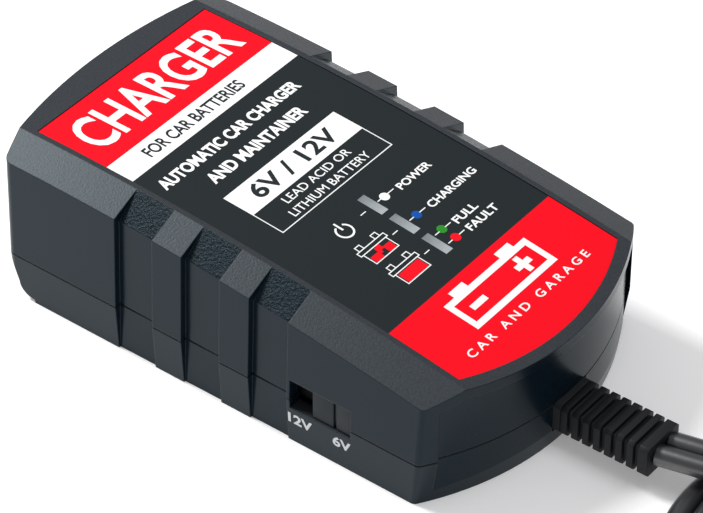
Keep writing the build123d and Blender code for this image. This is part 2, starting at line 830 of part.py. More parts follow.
def ring(at, strands, corner=0.0):
    """Ring of a coil's square section, its corners rounded or sharp."""
    side = strands * lead_diameter
    with BuildPart() as body:
        with BuildSketch(Plane.XZ):
            with Locations((coil_radius, coil_lift + side / 2)):
                if corner:
                    RectangleRounded(side, side, corner)
                else:
                    Rectangle(side, side)
        revolve(axis=Axis.Z)
    return Pos(*at, 0) * body.part


def coil_ties(name, at, strands):
    """Two flat ties round the coil, opposite each other, on which it rests."""
    side = strands * lead_diameter
    inside = ring(at, strands)
    with BuildPart() as ties:
        for turn in (tie_turn, tie_turn + 180):
            centre = Location((*at, 0), (0, 0, turn)) * Location((coil_radius, 0, coil_lift + side / 2))
            with Locations(centre):
                Box(side + 2 * coil_lift, tie_width, side + 2 * coil_lift)
        add(inside, mode=Mode.SUBTRACT)
    save(ties.part, name)


mains_top = coil_lift + mains_strands * lead_diameter
battery_top = coil_lift + battery_strands * lead_diameter
plug_z = mains_top + plug_thickness / 2 + rest_gap
connector_z = battery_top + connector_thickness / 2 + rest_gap
mains_tail_route = tail_route(mains_coil_at, mains_top, plug_z)
battery_tail_route = tail_route(battery_coil_at, battery_top, connector_z)
used = lead("mains_lead", mains_route) + lead("mains_tail", mains_tail_route)
print("mains turns", (mains_length - used) / (2 * pi * coil_radius))
used = lead("battery_lead", battery_route) + lead("battery_tail", battery_tail_route)
print("battery turns", (battery_length - used) / (2 * pi * coil_radius))
save(ring(mains_coil_at, mains_strands, 0.45 * lead_diameter), "mains_coil")
save(ring(battery_coil_at, battery_strands, 0.45 * lead_diameter), "battery_coil")
coil_ties("mains_coil_ties", mains_coil_at, mains_strands)
coil_ties("battery_coil_ties", battery_coil_at, battery_strands)

# ---------------------------------------------------------------- plug and connector

plug_at = mains_tail_route[-1]
with BuildPart() as mains_plug:
    rear = Plane(origin=(plug_at[0], plug_at[1], plug_z), x_dir=(0, 1, 0), z_dir=(-1, 0, 0))
    with BuildSketch(rear):
        RectangleRounded(8, 7, 3)
    with BuildSketch(rear.offset(10)):
        RectangleRounded(plug_rear_width, plug_rear_thickness, 3.5)
    loft()
    with BuildSketch(rear.offset(10)):
        RectangleRounded(plug_rear_width, plug_rear_thickness, 3.5)
    with BuildSketch(rear.offset(22)):
        RectangleRounded(plug_width - 3, plug_thickness - 1.5, 5.5)
    loft()
    with BuildSketch(rear.offset(22)):
        RectangleRounded(plug_width - 3, plug_thickness - 1.5, 5.5)
    with BuildSketch(rear.offset(plug_length)):
        RectangleRounded(plug_width, plug_thickness, 6.2)
    loft()
save(mains_plug.part, "mains_plug")

with BuildPart() as plug_pins:
    with BuildSketch(rear.offset(plug_length)):
        with Locations((-pin_spacing / 2, 0), (pin_spacing / 2, 0)):
            Circle(pin_radius)
    extrude(amount=pin_length)
    fillet(plug_pins.edges().group_by(Axis.X)[0], 1.2)
save(plug_pins.part, "plug_pins")

socket_at = battery_tail_route[-1]
with BuildPart() as battery_connector:
    back = Plane(origin=(socket_at[0], socket_at[1], connector_z), x_dir=(0, 1, 0), z_dir=(-1, 0, 0))
    with BuildSketch(back):
        RectangleRounded(6, 5.4, 2)
    with BuildSketch(back.offset(connector_neck)):
        RectangleRounded(connector_width, connector_thickness, 2)
    loft()
    with BuildSketch(back.offset(connector_neck)):
        RectangleRounded(connector_width, connector_thickness, 2)
    extrude(amount=connector_length - connector_neck)
    with BuildSketch(back.offset(connector_length)):
        with Locations((connector_width / 4, 0)):
            Circle(shroud_radius)
    extrude(amount=contact_length)
    with BuildSketch(back.offset(connector_length + contact_length)):
        with Locations((connector_width / 4, 0)):
            Circle(contact_radius + 0.5)
    extrude(amount=-contact_length - 4, mode=Mode.SUBTRACT)
save(battery_connector.part, "battery_connector")

with BuildPart() as connector_socket:
    with BuildSketch(back.offset(connector_length - 4)):
        with Locations((connector_width / 4, 0)):
            Circle(contact_radius + 0.5)
            Circle(contact_radius, mode=Mode.SUBTRACT)
    extrude(amount=contact_length)
save(connector_socket.part, "connector_socket")

with BuildPart() as connector_pin:
    with BuildSketch(back.offset(connector_length)):
        with Locations((-connector_width / 4, 0)):
            Circle(contact_radius)
    extrude(amount=contact_length)
    fillet(connector_pin.edges().group_by(Axis.X)[0], 0.8)
save(connector_pin.part, "connector_pin")
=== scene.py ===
"""Looks of a small car battery charger: moulded case, printed label, selector and two leads.

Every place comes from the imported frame, in metres, with +X towards the cable end and +Z up.
"""
import math

import bmesh
import bpy
from bpy.props import FloatProperty, FloatVectorProperty, PointerProperty
from mathutils import Matrix, Vector


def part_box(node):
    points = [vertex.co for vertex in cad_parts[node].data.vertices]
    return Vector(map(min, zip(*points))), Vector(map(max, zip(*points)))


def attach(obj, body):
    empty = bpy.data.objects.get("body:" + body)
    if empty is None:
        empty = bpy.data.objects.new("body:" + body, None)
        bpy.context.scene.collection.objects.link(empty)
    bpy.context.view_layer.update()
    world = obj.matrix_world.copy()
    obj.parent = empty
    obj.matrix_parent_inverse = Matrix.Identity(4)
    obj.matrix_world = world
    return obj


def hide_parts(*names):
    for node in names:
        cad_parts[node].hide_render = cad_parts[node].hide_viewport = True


bl_info = {
    "name": "Battery Charger Looks",
    "version": (1, 0, 0),
    "blender": (4, 5, 0),
    "location": "View3D > Sidebar > Charger",
    "description": "Finishes, prints and leads of a small car battery charger",
    "category": "Object",
}

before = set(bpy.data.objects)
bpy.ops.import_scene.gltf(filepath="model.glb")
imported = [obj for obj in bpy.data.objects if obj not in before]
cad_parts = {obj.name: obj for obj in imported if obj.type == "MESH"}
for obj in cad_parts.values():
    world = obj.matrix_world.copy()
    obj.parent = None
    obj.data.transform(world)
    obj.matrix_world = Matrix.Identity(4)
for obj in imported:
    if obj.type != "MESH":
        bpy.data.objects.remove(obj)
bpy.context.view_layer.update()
MM = 0.001
MAIN_BODY = "charger"
KNOB_BODY = "selector"
CASE_HALVES = ("upper_case", "lower_case")
LIGHT_GUIDES = ("power_light_guide", "charge_light_guide", "status_light_guide")


def srgb(hex_code):
    """Linear colour of an sRGB hex value."""
    parts = [int(hex_code[i:i + 2], 16) / 255 for i in (1, 3, 5)]
    return [c / 12.92 if c <= 0.04045 else ((c + 0.055) / 1.055) ** 2.4 for c in parts]


def size(name, description, millimetres):
    return FloatProperty(name=name, description=description, default=millimetres * MM,
                         subtype="DISTANCE", unit="LENGTH", precision=5)


def colour(name, description, hex_code):
    return FloatVectorProperty(name=name, description=description, default=srgb(hex_code),
                               subtype="COLOR", size=3, min=0.0, max=1.0)


class CHARGER_PG_case(bpy.types.PropertyGroup):
    """Case and moulded parts"""

    walls: colour("Walls", "Charcoal of the smooth side walls", "#0b1922")
    # Lighter than the walls: partly the sand texture's own tone, partly painted light on the faces
    # that point up
    top: colour("Top", "Charcoal of the textured top edges", "#33363a")
    grip: colour("Grip slopes", "Blue black of the slopes in the side grooves", "#08151c")
    grit: size("Grit", "Grain size of the sparked texture", 0.42)
    grip_grit: size("Grip grit", "Grain size of the coarser texture in the grooves", 0.6)
    edge: size("Edge", "Radius that the mould leaves on an edge", 0.3)
    parting: size("Parting line", "Height of the joint between the two halves", 11.0)


class CHARGER_PG_label(bpy.types.PropertyGroup):
    """Printed face label"""

    red: colour("Red", "Red of the two end bands", "#f2071e")
    white: colour("White", "White ink and band", "#f6f7f7")
    black: colour("Black", "Black of the label's middle", "#22282b")
    blue: colour("Blue", "Blue of the second indicator dot", "#0c50a4")
    green: colour("Green", "Green of the third indicator dot", "#2b8b28")
    far_band: size("Far band", "Where the far red band ends", -35.1)
    white_band: size("White band", "Where the white band ends", -28.4)
    near_band: size("Near band", "Where the near red band begins", 34.5)
    crown: size("Crown", "Radius of the crowned top, seen from the side", 645.0)
    crown_at: size("Crown place", "X of the crown's highest line", -54.5)
    ink: size("Ink", "Height that a printed layer stands above the film", 0.035)
    line: size("Line", "Width of the thin printed lines", 0.22)


class CHARGER_PG_leads(bpy.types.PropertyGroup):
    """Mains lead and battery lead"""

    diameter: size("Diameter", "Outside diameter of each lead", 4.4)
    mains: size("Mains length", "Whole length of the mains lead", 1480.0)
    battery: size("Battery length", "Whole length of the battery lead", 800.0)
    jacket: colour("Jacket", "Near black of the PVC jacket", "#1a1d20")


class CHARGER_PG_stage(bpy.types.PropertyGroup):
    """Floor, lights and camera"""

    floor: colour("Floor", "Pale floor", "#f7f7f8")
    lens: FloatProperty(name="Lens", description="Focal length on a 36 mm sensor, in millimetres",
                        default=187.53)
    camera: FloatVectorProperty(name="Camera", description="Where the camera stands", size=3,
                                subtype="TRANSLATION", unit="LENGTH",
                                default=(0.3462, -0.43929, 0.48523))
    aim: FloatVectorProperty(name="Aim", description="Where the camera looks", size=3,
                             subtype="TRANSLATION", unit="LENGTH",
                             default=(0.00844, -0.00369, 0.02092))


# ---------------------------------------------------------------- materials

CLOUDS_PER_METRE = 90.0  # slow drift of tone across a piece
CASE_CLOUDS_PER_METRE = 60.0
POLISH_SPREAD = 0.07  # how far the grain moves the roughness either way
# Z of a normal: where the sand texture starts and is full, and between which the grip slopes lie
# The lighter top tone that these bring in is partly painted light on the faces that point up
SAND_FROM, SAND_FULL = 0.12, 0.4
GRIP_FROM, GRIP_TO = 0.5, 0.86
WALL_ROUGHNESS, TOP_ROUGHNESS, GRIP_ROUGHNESS = 0.24, 0.4, 0.36
WALL_RELIEF, SAND_RELIEF = 0.1, 0.75
SAND_DEPTH = 0.06 * MM
GRIP_DEPTH = 0.24 * MM
SEAM_HALF, SEAM_FADED = 0.1 * MM, 0.24 * MM  # distance from the parting line
SEAM_SHADE = 0.16
PRINT_GRAIN = 0.3 * MM  # grain of the film, also in the ink on it
JACKET_GRAIN = 0.5 * MM
CLOUDY_GRAIN = 0.8 * MM


def add_node(tree, kind, links=None, **settings):
    """Adds a node; links maps input names or numbers to sockets or values."""
    node = tree.nodes.new(kind)
    for key, value in settings.items():
        setattr(node, key, value)
    for key, value in (links or {}).items():
        socket = node.inputs[key]
        if isinstance(value, bpy.types.NodeSocket):
            tree.links.new(value, socket)
        else:
            socket.default_value = value
    return node


def shaded(tone, share=1.0):
    """Colour made lighter or darker, with its alpha."""
    return [min(1, c * share) for c in tone] + [1]


def new_material(name):
    material = bpy.data.materials.new(name)
    material.use_nodes = True
    tree = material.node_tree
    tree.nodes.clear()
    shader = add_node(tree, "ShaderNodeBsdfPrincipled")
    add_node(tree, "ShaderNodeOutputMaterial", {"Surface": shader.outputs[0]})
    where = add_node(tree, "ShaderNodeTexCoord")
    return material, tree, shader, where


def grained(name, hex_code, rough, grain, bump=0.3, depth=0.02, metallic=0.0, ior=1.5, vary=0.12,
            stretch=(1, 1, 1), coat=0.0, transmission=0.0, gloss=0.5):
    """Material with a slowly drifting colour and a fine grain in roughness and relief; grain and
    depth in mm.
    """
    material, tree, shader, where = new_material(name)
    place = add_node(tree, "ShaderNodeMapping",
                     {0: where.outputs["Object"], "Scale": stretch}).outputs[0]
    grit = add_node(tree, "ShaderNodeTexNoise", {
        "Vector": place, "Scale": 1 / (grain * MM), "Detail": 3.0, "Roughness": 0.6}).outputs["Fac"]
    cloud = add_node(tree, "ShaderNodeTexNoise", {
        "Vector": place, "Scale": CLOUDS_PER_METRE, "Detail": 2.0}).outputs["Fac"]
    base = srgb(hex_code)
    tone = add_node(tree, "ShaderNodeMix", {
        "Factor": cloud, "A": shaded(base, 1 - vary), "B": shaded(base, 1 + vary),
    }, data_type="RGBA").outputs[2]
    tree.links.new(tone, shader.inputs["Base Color"])
    polish = add_node(tree, "ShaderNodeMapRange", {
        "Value": grit, "To Min": max(0.02, rough - POLISH_SPREAD),
        "To Max": min(1, rough + POLISH_SPREAD)}).outputs[0]
    tree.links.new(polish, shader.inputs["Roughness"])
    relief = add_node(tree, "ShaderNodeBump", {
        "Height": grit, "Strength": bump, "Distance": depth * MM}).outputs[0]
    tree.links.new(relief, shader.inputs["Normal"])
    shader.inputs["Metallic"].default_value = metallic
    shader.inputs["IOR"].default_value = ior
    shader.inputs["Coat Weight"].default_value = coat
    shader.inputs["Transmission Weight"].default_value = transmission
    shader.inputs["Specular IOR Level"].default_value = gloss
    return material


def case_material(case):
    """Moulded ABS: smooth satin walls, a sparked sand texture on all that faces up with a lighter
    tone there, partly the texture's own and partly painted light, a coarser and glossier grain
    on the steep grip slopes, and a dark line at the parting."""
    material, tree, shader, where = new_material("moulded ABS case")
    spot = where.outputs["Object"]
    facing = add_node(tree, "ShaderNodeSeparateXYZ", {0: where.outputs["Normal"]}).outputs["Z"]
    upward = add_node(tree, "ShaderNodeMapRange", {
        "Value": facing, "From Min": SAND_FROM, "From Max": SAND_FULL,
    }, interpolation_type="SMOOTHSTEP").outputs[0]
    above = add_node(tree, "ShaderNodeMath", {0: facing, 1: GRIP_FROM},
                     operation="GREATER_THAN").outputs[0]
    below = add_node(tree, "ShaderNodeMath", {0: facing, 1: GRIP_TO},
                     operation="LESS_THAN").outputs[0]
    steep = add_node(tree, "ShaderNodeMath", {0: above, 1: below},
                     operation="MULTIPLY").outputs[0]

    fine = add_node(tree, "ShaderNodeTexNoise", {
        "Vector": spot, "Scale": 1 / case.grit, "Detail": 2.0, "Roughness": 0.55}).outputs["Fac"]
    coarse = add_node(tree, "ShaderNodeTexNoise", {
        "Vector": spot, "Scale": 1 / case.grip_grit, "Detail": 3.0, "Roughness": 0.65,
    }).outputs["Fac"]
    cloud = add_node(tree, "ShaderNodeTexNoise", {
        "Vector": spot, "Scale": CASE_CLOUDS_PER_METRE, "Detail": 3.0}).outputs["Fac"]
    tones = []
    for pattern, base, dark, light in (
        (cloud, case.walls, 0.88, 1.12),
        (fine, case.top, 0.55, 1.5),
        (coarse, case.grip, 0.35, 2.1),
    ):
        tones.append(add_node(tree, "ShaderNodeMix", {
            "Factor": pattern, "A": shaded(base, dark), "B": shaded(base, light),
        }, data_type="RGBA").outputs[2])
    tone, polish = tones[0], WALL_ROUGHNESS
    # Faces that point up take the lighter top tone, partly painted light; the steep grip slopes
    # take the grip tone
    for share, next_tone, roughness in (
        (upward, tones[1], TOP_ROUGHNESS), (steep, tones[2], GRIP_ROUGHNESS),
    ):
        tone = add_node(tree, "ShaderNodeMix", {"Factor": share, "A": tone, "B": next_tone},
                        data_type="RGBA").outputs[2]
        polish = add_node(tree, "ShaderNodeMix", {
            "Factor": share, "A": polish, "B": roughness}).outputs[0]
    tree.links.new(polish, shader.inputs["Roughness"])

    height = add_node(tree, "ShaderNodeSeparateXYZ", {0: spot}).outputs["Z"]
    off_line = add_node(tree, "ShaderNodeMath", {0: height, 1: case.parting},
                        operation="SUBTRACT").outputs[0]
    away = add_node(tree, "ShaderNodeMath", {0: off_line}, operation="ABSOLUTE").outputs[0]
    seam = add_node(tree, "ShaderNodeMapRange", {
        "Value": away, "From Min": SEAM_HALF, "From Max": SEAM_FADED,
        "To Min": SEAM_SHADE, "To Max": 1.0}).outputs[0]
    tone = add_node(tree, "ShaderNodeMix", {"Factor": 1.0, "A": tone, "B": seam},
                    data_type="RGBA", blend_type="MULTIPLY").outputs[2]
    tree.links.new(tone, shader.inputs["Base Color"])

    rounded = add_node(tree, "ShaderNodeBevel", {"Radius": case.edge}, samples=6).outputs[0]
    push = add_node(tree, "ShaderNodeMapRange", {
        "Value": upward, "To Min": WALL_RELIEF, "To Max": SAND_RELIEF}).outputs[0]
    relief = add_node(tree, "ShaderNodeBump", {
        "Height": fine, "Strength": push, "Distance": SAND_DEPTH, "Normal": rounded}).outputs[0]
    deep = add_node(tree, "ShaderNodeBump", {
        "Height": coarse, "Strength": steep, "Distance": GRIP_DEPTH, "Normal": relief}).outputs[0]
    tree.links.new(deep, shader.inputs["Normal"])
    shader.inputs["IOR"].default_value = 1.54
    shader.inputs["Specular IOR Level"].default_value = 0.18
    # Painted reflection colour: the bluish specular tint stands in for a bluish light on the case
    shader.inputs["Specular Tint"].default_value = (0.74, 0.91, 1.0, 1.0)
    return material


def label_material(label):
    """Printed polyester film, satin: two red bands, a white one and a black middle."""
    material, tree, shader, where = new_material("printed polyester film")
    spot = add_node(tree, "ShaderNodeSeparateXYZ", {0: where.outputs["Object"]}).outputs["X"]
    tone = shaded(label.red)
    for edge, ink in ((label.far_band, label.white), (label.white_band, label.black),
                      (label.near_band, label.red)):
        past = add_node(tree, "ShaderNodeMath", {0: spot, 1: edge},
                        operation="GREATER_THAN").outputs[0]
        tone = add_node(tree, "ShaderNodeMix", {"Factor": past, "A": tone, "B": shaded(ink)},
                        data_type="RGBA").outputs[2]
    grit = add_node(tree, "ShaderNodeTexNoise", {
        "Vector": where.outputs["Object"], "Scale": 1 / PRINT_GRAIN, "Detail": 2.0}).outputs["Fac"]
    mottle = add_node(tree, "ShaderNodeMapRange", {
        "Value": grit, "To Min": 0.93, "To Max": 1.05}).outputs[0]
    tone = add_node(tree, "ShaderNodeMix", {"Factor": 1.0, "A": tone, "B": mottle},
                    data_type="RGBA", blend_type="MULTIPLY").outputs[2]
    tree.links.new(tone, shader.inputs["Base Color"])
    relief = add_node(tree, "ShaderNodeBump", {
        "Height": grit, "Strength": 0.25, "Distance": 0.01 * MM}).outputs[0]
    tree.links.new(relief, shader.inputs["Normal"])
    shader.inputs["Roughness"].default_value = 0.55
    shader.inputs["IOR"].default_value = 1.5
    shader.inputs["Specular IOR Level"].default_value = 0.1
    return material


def window_material(node):
    """Frosted polycarbonate light guide: cloudy grey, paler towards the cable end."""
    material, tree, shader, where = new_material(f"frosted polycarbonate {node}")
    low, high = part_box(node)
    spot = where.outputs["Object"]
    along = add_node(tree, "ShaderNodeSeparateXYZ", {0: spot}).outputs["X"]
    cloud = add_node(tree, "ShaderNodeTexNoise", {
        "Vector": spot, "Scale": 1 / CLOUDY_GRAIN, "Detail": 2.0}).outputs["Fac"]
    share = add_node(tree, "ShaderNodeMapRange", {
        "Value": along, "From Min": low[0], "From Max": high[0],
        "To Min": 0.0, "To Max": 0.8}).outputs[0]
    share = add_node(tree, "ShaderNodeMath", {0: cloud, 1: 0.35, 2: share},
                     operation="MULTIPLY_ADD").outputs[0]
    tone = add_node(tree, "ShaderNodeMix", {
        "Factor": share, "A": shaded(srgb("#666d71")), "B": shaded(srgb("#aab1b5")),
    }, data_type="RGBA").outputs[2]
    tree.links.new(tone, shader.inputs["Base Color"])
    shader.inputs["Roughness"].default_value = 0.3
    shader.inputs["IOR"].default_value = 1.58
    return material


def ink_material(name, tone):
    """Screen printed ink: even, slightly satin, with the film's faint grain."""
    material, tree, shader, where = new_material(name)
    grit = add_node(tree, "ShaderNodeTexNoise", {
        "Vector": where.outputs["Object"], "Scale": 1 / PRINT_GRAIN, "Detail": 2.0}).outputs["Fac"]
    shade = add_node(tree, "ShaderNodeMix", {
        "Factor": grit, "A": shaded(tone, 0.95), "B": shaded(tone, 1.04),
    }, data_type="RGBA").outputs[2]
    tree.links.new(shade, shader.inputs["Base Color"])
    shader.inputs["Roughness"].default_value = 0.5
    shader.inputs["Specular IOR Level"].default_value = 0.15
    return material


def jacket_material(leads):
    """Extruded PVC jacket: near black with a satin skin that catches a long soft highlight."""
    material, tree, shader, where = new_material("extruded PVC jacket")
    grit = add_node(tree, "ShaderNodeTexNoise", {
        "Vector": where.outputs["Object"], "Scale": 1 / JACKET_GRAIN, "Detail": 3.0}).outputs["Fac"]
    tone = add_node(tree, "ShaderNodeMix", {
        "Factor": grit, "A": shaded(leads.jacket, 0.75), "B": shaded(leads.jacket, 1.3),
    }, data_type="RGBA").outputs[2]
    tree.links.new(tone, shader.inputs["Base Color"])
    polish = add_node(tree, "ShaderNodeMapRange", {
        "Value": grit, "To Min": 0.3, "To Max": 0.42}).outputs[0]
    tree.links.new(polish, shader.inputs["Roughness"])
    relief = add_node(tree, "ShaderNodeBump", {
        "Height": grit, "Strength": 0.25, "Distance": 0.03 * MM}).outputs[0]
    tree.links.new(relief, shader.inputs["Normal"])
    shader.inputs["IOR"].default_value = 1.53
    shader.inputs["Specular IOR Level"].default_value = 1.0
    shader.inputs["Coat Weight"].default_value = 0.5
    shader.inputs["Coat Roughness"].default_value = 0.3
    return material


def wear(obj, material):
    """Gives an object one material."""
    obj.data.materials.clear()
    obj.data.materials.append(material)


# ---------------------------------------------------------------- modelling helpers

MERGE = 1e-7  # doubles of a printed piece
NODE_MERGE = 1e-6  # doubles of a copied node
FLAT_ANGLE = math.radians(1.0)
EDGE_ANGLE = math.radians(35)
SMOOTH_ANGLE = math.radians(40)
DOT_RADIUS = 1.08  # in millimetres
DOT_SIDES = 48
RING_STEPS = 40


def only(*objects):
    """Selects these objects alone and makes the first active."""
    bpy.ops.object.select_all(action="DESELECT")
    for obj in objects:
        obj.select_set(True)
    bpy.context.view_layer.objects.active = objects[0]


def settle(obj):
    """Puts an object's place, turn and scale into its mesh."""
    only(obj)
    bpy.ops.object.transform_apply(location=True, rotation=True, scale=True)


def joined(name, objects):
    """Joins objects in one mesh, without doubles and with faces outwards."""
    only(*objects)
    bpy.ops.object.join()
    obj = bpy.context.object
    obj.name = obj.data.name = name
    only(obj)
    bpy.ops.object.mode_set(mode="EDIT")
    bpy.ops.mesh.select_all(action="SELECT")
    bpy.ops.mesh.remove_doubles(threshold=MERGE)
    bpy.ops.mesh.normals_make_consistent(inside=False)
    bpy.ops.object.mode_set(mode="OBJECT")
    return obj


def rect(x0, x1, y0, y1, thick):
    """Flat printed block between two X and two Y, in millimetres; thick is in metres."""
    bpy.ops.object.select_all(action="DESELECT")
    bpy.ops.mesh.primitive_cube_add(size=1, location=((x0 + x1) / 2 * MM, (y0 + y1) / 2 * MM, 0))
    obj = bpy.context.object
    obj.scale = ((x1 - x0) * MM, (y1 - y0) * MM, thick)
    settle(obj)
    return obj


def outline(x0, x1, y0, y1, line, thick, skip=None):
    """Thin lines round a rectangle, in millimetres, less the one on the side that is skipped."""
    sides = {
        "-X": (x0, x0 + line, y0, y1),
        "+X": (x1 - line, x1, y0, y1),
        "-Y": (x0 + line, x1 - line, y0, y0 + line),
        "+Y": (x0 + line, x1 - line, y1 - line, y1),
    }
    return [rect(*span, thick) for side, span in sides.items() if side != skip]


def dot(x, y, thick):
    """Round indicator mark, in millimetres."""
    bpy.ops.object.select_all(action="DESELECT")
    bpy.ops.mesh.primitive_cylinder_add(vertices=DOT_SIDES, radius=DOT_RADIUS * MM, depth=thick,
                                        location=(x * MM, y * MM, 0))
    obj = bpy.context.object
    settle(obj)
    return obj


def open_ring(x, y, radius, line, thick, gap):
    """Flat ring with a gap, in degrees, towards -X; its sizes are in millimetres."""
    obj = rect(x - line / 2, x + line / 2, y - line / 2, y + line / 2, thick)
    for v in obj.data.vertices:
        v.co.x -= radius * MM
    only(obj)
    centre = Vector((x * MM, y * MM, 0))
    bpy.ops.object.mode_set(mode="EDIT")
    bm = bmesh.from_edit_mesh(obj.data)
    section = next(face for face in bm.faces if face.normal.y > 0.9)
    keep = set(section.verts)
    bmesh.ops.delete(bm, geom=[v for v in bm.verts if v not in keep], context="VERTS")
    bmesh.ops.rotate(bm, verts=bm.verts, cent=centre,
                     matrix=Matrix.Rotation(math.radians(gap / 2), 3, "Z"))
    bmesh.update_edit_mesh(obj.data)
    bpy.ops.mesh.select_all(action="SELECT")
    bpy.ops.mesh.spin(steps=RING_STEPS, angle=-math.radians(360 - gap), center=centre,
                      axis=(0, 0, 1))
    bpy.ops.mesh.select_all(action="SELECT")
    bpy.ops.mesh.remove_doubles(threshold=MERGE)
    bpy.ops.mesh.fill_holes(sides=4)
    bpy.ops.mesh.select_all(action="SELECT")
    bpy.ops.mesh.normals_make_consistent(inside=False)
    bpy.ops.object.mode_set(mode="OBJECT")
    return obj


def words(text, x0, x1, y0, y1, thick, weight):
    """Lettering that reads along +Y with its tops towards -X, fitted to a box in millimetres."""
    bpy.ops.object.select_all(action="DESELECT")
    bpy.ops.object.text_add()
    obj = bpy.context.object
    obj.data.body = text
    obj.data.extrude = 0.5
    obj.data.offset = weight
    obj.data.resolution_u = 4
    bpy.ops.object.convert(target="MESH")
    obj = bpy.context.object
    xs = [v.co.x for v in obj.data.vertices]
    ys = [v.co.y for v in obj.data.vertices]
    for v in obj.data.vertices:
        along = (v.co.x - min(xs)) / (max(xs) - min(xs))
        up = (v.co.y - min(ys)) / (max(ys) - min(ys))
        v.co = Vector(((x1 - up * (x1 - x0)) * MM, (y0 + along * (y1 - y0)) * MM, v.co.z * thick))
    return obj


def label_height(label, x):
    """Z of the face label's surface at an X."""
    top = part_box("face_label")[1][2]
    return top - (label.crown - math.sqrt(label.crown**2 - (x - label.crown_at) ** 2))


def laid_on_label(name, objects, material, label, layer=0):
    """Joins flat pieces, lays them on the crowned label and lets them ride on the case."""
    obj = joined(name, objects)
    for v in obj.data.vertices:
        v.co.z += label_height(label, v.co.x) + layer * label.ink
    wear(obj, material)
    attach(obj, MAIN_BODY)
    return obj


def softened(node, name, width, segments):
    """Copy of a node whose edges are rounded, in millimetres, which stands for it."""
    obj = bpy.data.objects.new(name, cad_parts[node].data.copy())
    bpy.context.collection.objects.link(obj)
    only(obj)
    bpy.ops.object.mode_set(mode="EDIT")
    bpy.ops.mesh.select_all(action="SELECT")
    bpy.ops.mesh.remove_doubles(threshold=NODE_MERGE)
    bpy.ops.mesh.dissolve_limited(angle_limit=FLAT_ANGLE)
    bpy.ops.mesh.normals_make_consistent(inside=False)
    bpy.ops.object.mode_set(mode="OBJECT")
    rounding = obj.modifiers.new("rounding", "BEVEL")
    rounding.width = width * MM
    rounding.segments = segments
    rounding.limit_method = "ANGLE"
    rounding.angle_limit = EDGE_ANGLE
    rounding.harden_normals = False
    bpy.ops.object.modifier_apply(modifier=rounding.name)
    bpy.ops.object.shade_smooth_by_angle(angle=SMOOTH_ANGLE)
    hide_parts(node)
    return obj


# ---------------------------------------------------------------- label and selector

# Lettering by piece: its ink and layer, then each line's text, X span, Y span and weight; as
# all places on the label, in millimetres
LETTERING = {
    "far_lettering": ("white", 0, (("CHARGER", -49.3, -38.9, -22.5, 22.5, 0.02),)),
    "band_lettering": ("black", 0, (("FOR CAR BATTERIES", -33.3, -30.2, -17.9, 11.7, 0.02),)),
    "heading_lettering": ("white", 0, (
        ("AUTOMATIC CAR CHARGER", -24.6, -21.5, -23.7, 18.7, 0.035),
        ("AND MAINTAINER", -18.6, -15.5, -16.0, 13.3, 0.035),
    )),
    "voltage_lettering": ("black", 0.6, (("6V / 12V", -10.4, -6.0, -13.5, 11.7, 0.025),)),
    "battery_kind_lettering": ("white", 0, (
        ("LEAD ACID OR", -3.4, -1.4, -11.0, 9.2, 0.0),
        ("LITHIUM BATTERY", 0.0, 2.0, -13.0, 11.2, 0.0),
    )),
    "indicator_lettering": ("white", 0, (
        ("POWER", 10.7, 12.6, 7.2, 17.1, 0.02),
        ("CHARGING", 18.2, 20.1, 7.2, 21.9, 0.02),
        ("FULL", 24.5, 26.4, 7.15, 13.9, 0.02),
        ("FAULT", 27.6, 29.5, 7.4, 16.6, 0.02),
    )),
    "near_lettering": ("white", 0, (
        ("C A R   A N D   G A R A G E", 47.9, 49.8, -19.8, 18.8, 0.01),
    )),
}
# Coloured dots by piece: their ink, layer and place
DOTS = {
    "blue_dot": ("blue", 0, 18.9, 3.5),
    "green_dot": ("green", 0, 24.9, 3.7),
    "red_dot": ("red", 0.2, 28.2, 3.8),
}
POWER_DOT = (11.2, 3.3)
# Dashes that lead to the indicators: X of the line, then the Y span of each
DASHES = (
    (11.1, ((1.2, 2.4), (4.3, 6.3), (-4.2, -2.6))),
    (18.9, ((1.2, 2.6), (4.4, 6.3), (-4.2, -2.6))),
    (25.0, ((4.6, 6.4), (1.4, 2.8))),
    (28.2, ((4.7, 6.6), (1.4, 2.8))),
    (26.6, ((-4.2, -2.6),)),
)
POWER_RING = (11.5, -9.75, 1.8, 0.42)  # X, Y, radius and line
POWER_RING_GAP = 56
POWER_BAR = (8.7, 11.1, -9.97, -9.53)
BATTERY_SIGNS = (15.8, 23.5)  # X where each begins
SIGN_BODY, SIGN_LID, SIGN_TERMINALS = (2.4, 5.9), (1.3, 2.4), (0, 1.3)  # X spans from there
SIGN_BODY_Y, SIGN_LID_Y = (-12.8, -5.6), (-13.4, -5.0)
SIGN_TERMINALS_Y = ((-12.5, -10.9), (-7.6, -6.0))
# Red fills of the two battery signs: the whole charge, and the flash
FILLS = (
    (26.4, 29.1, -12.3, -6.1),
    (19.7, 21.4, -12.3, -9.9), (18.7, 20.5, -9.9, -9.1), (18.4, 19.9, -9.1, -8.2),
    (19.5, 21.4, -8.2, -6.1),
)
VOLTAGE_BAND = (-11.8, -4.6, -18.3, 16.5)
VOLTAGE_FRAME = (-4.6, 3.1, -18.3, 16.5)
BATTERY_FRAME, BATTERY_LINE = (37.8, 46.0, -13.0, 13.0), 1.4
# Terminals, minus sign and plus sign of the large battery
BATTERY_PARTS = (
    (36.3, 37.8, -9.6, -5.2), (36.3, 37.8, 5.2, 9.6), (41.2, 42.6, -9.4, -5.0),
    (41.2, 42.6, 5.0, 9.4), (39.7, 41.2, 6.5, 7.9), (42.6, 44.1, 6.5, 7.9),
)
# Selector legend: text, X span and weight; then its height, foot, and how far the wall leans in
# between the parting line and the ground
LEGEND = (("12V", 17.3, 23.2, 0.03), ("6V", 28.2, 32.6, 0.03))
LEGEND_HEIGHT = 2.5
LEGEND_FOOT = 4.9
WALL_LEAN = 0.5


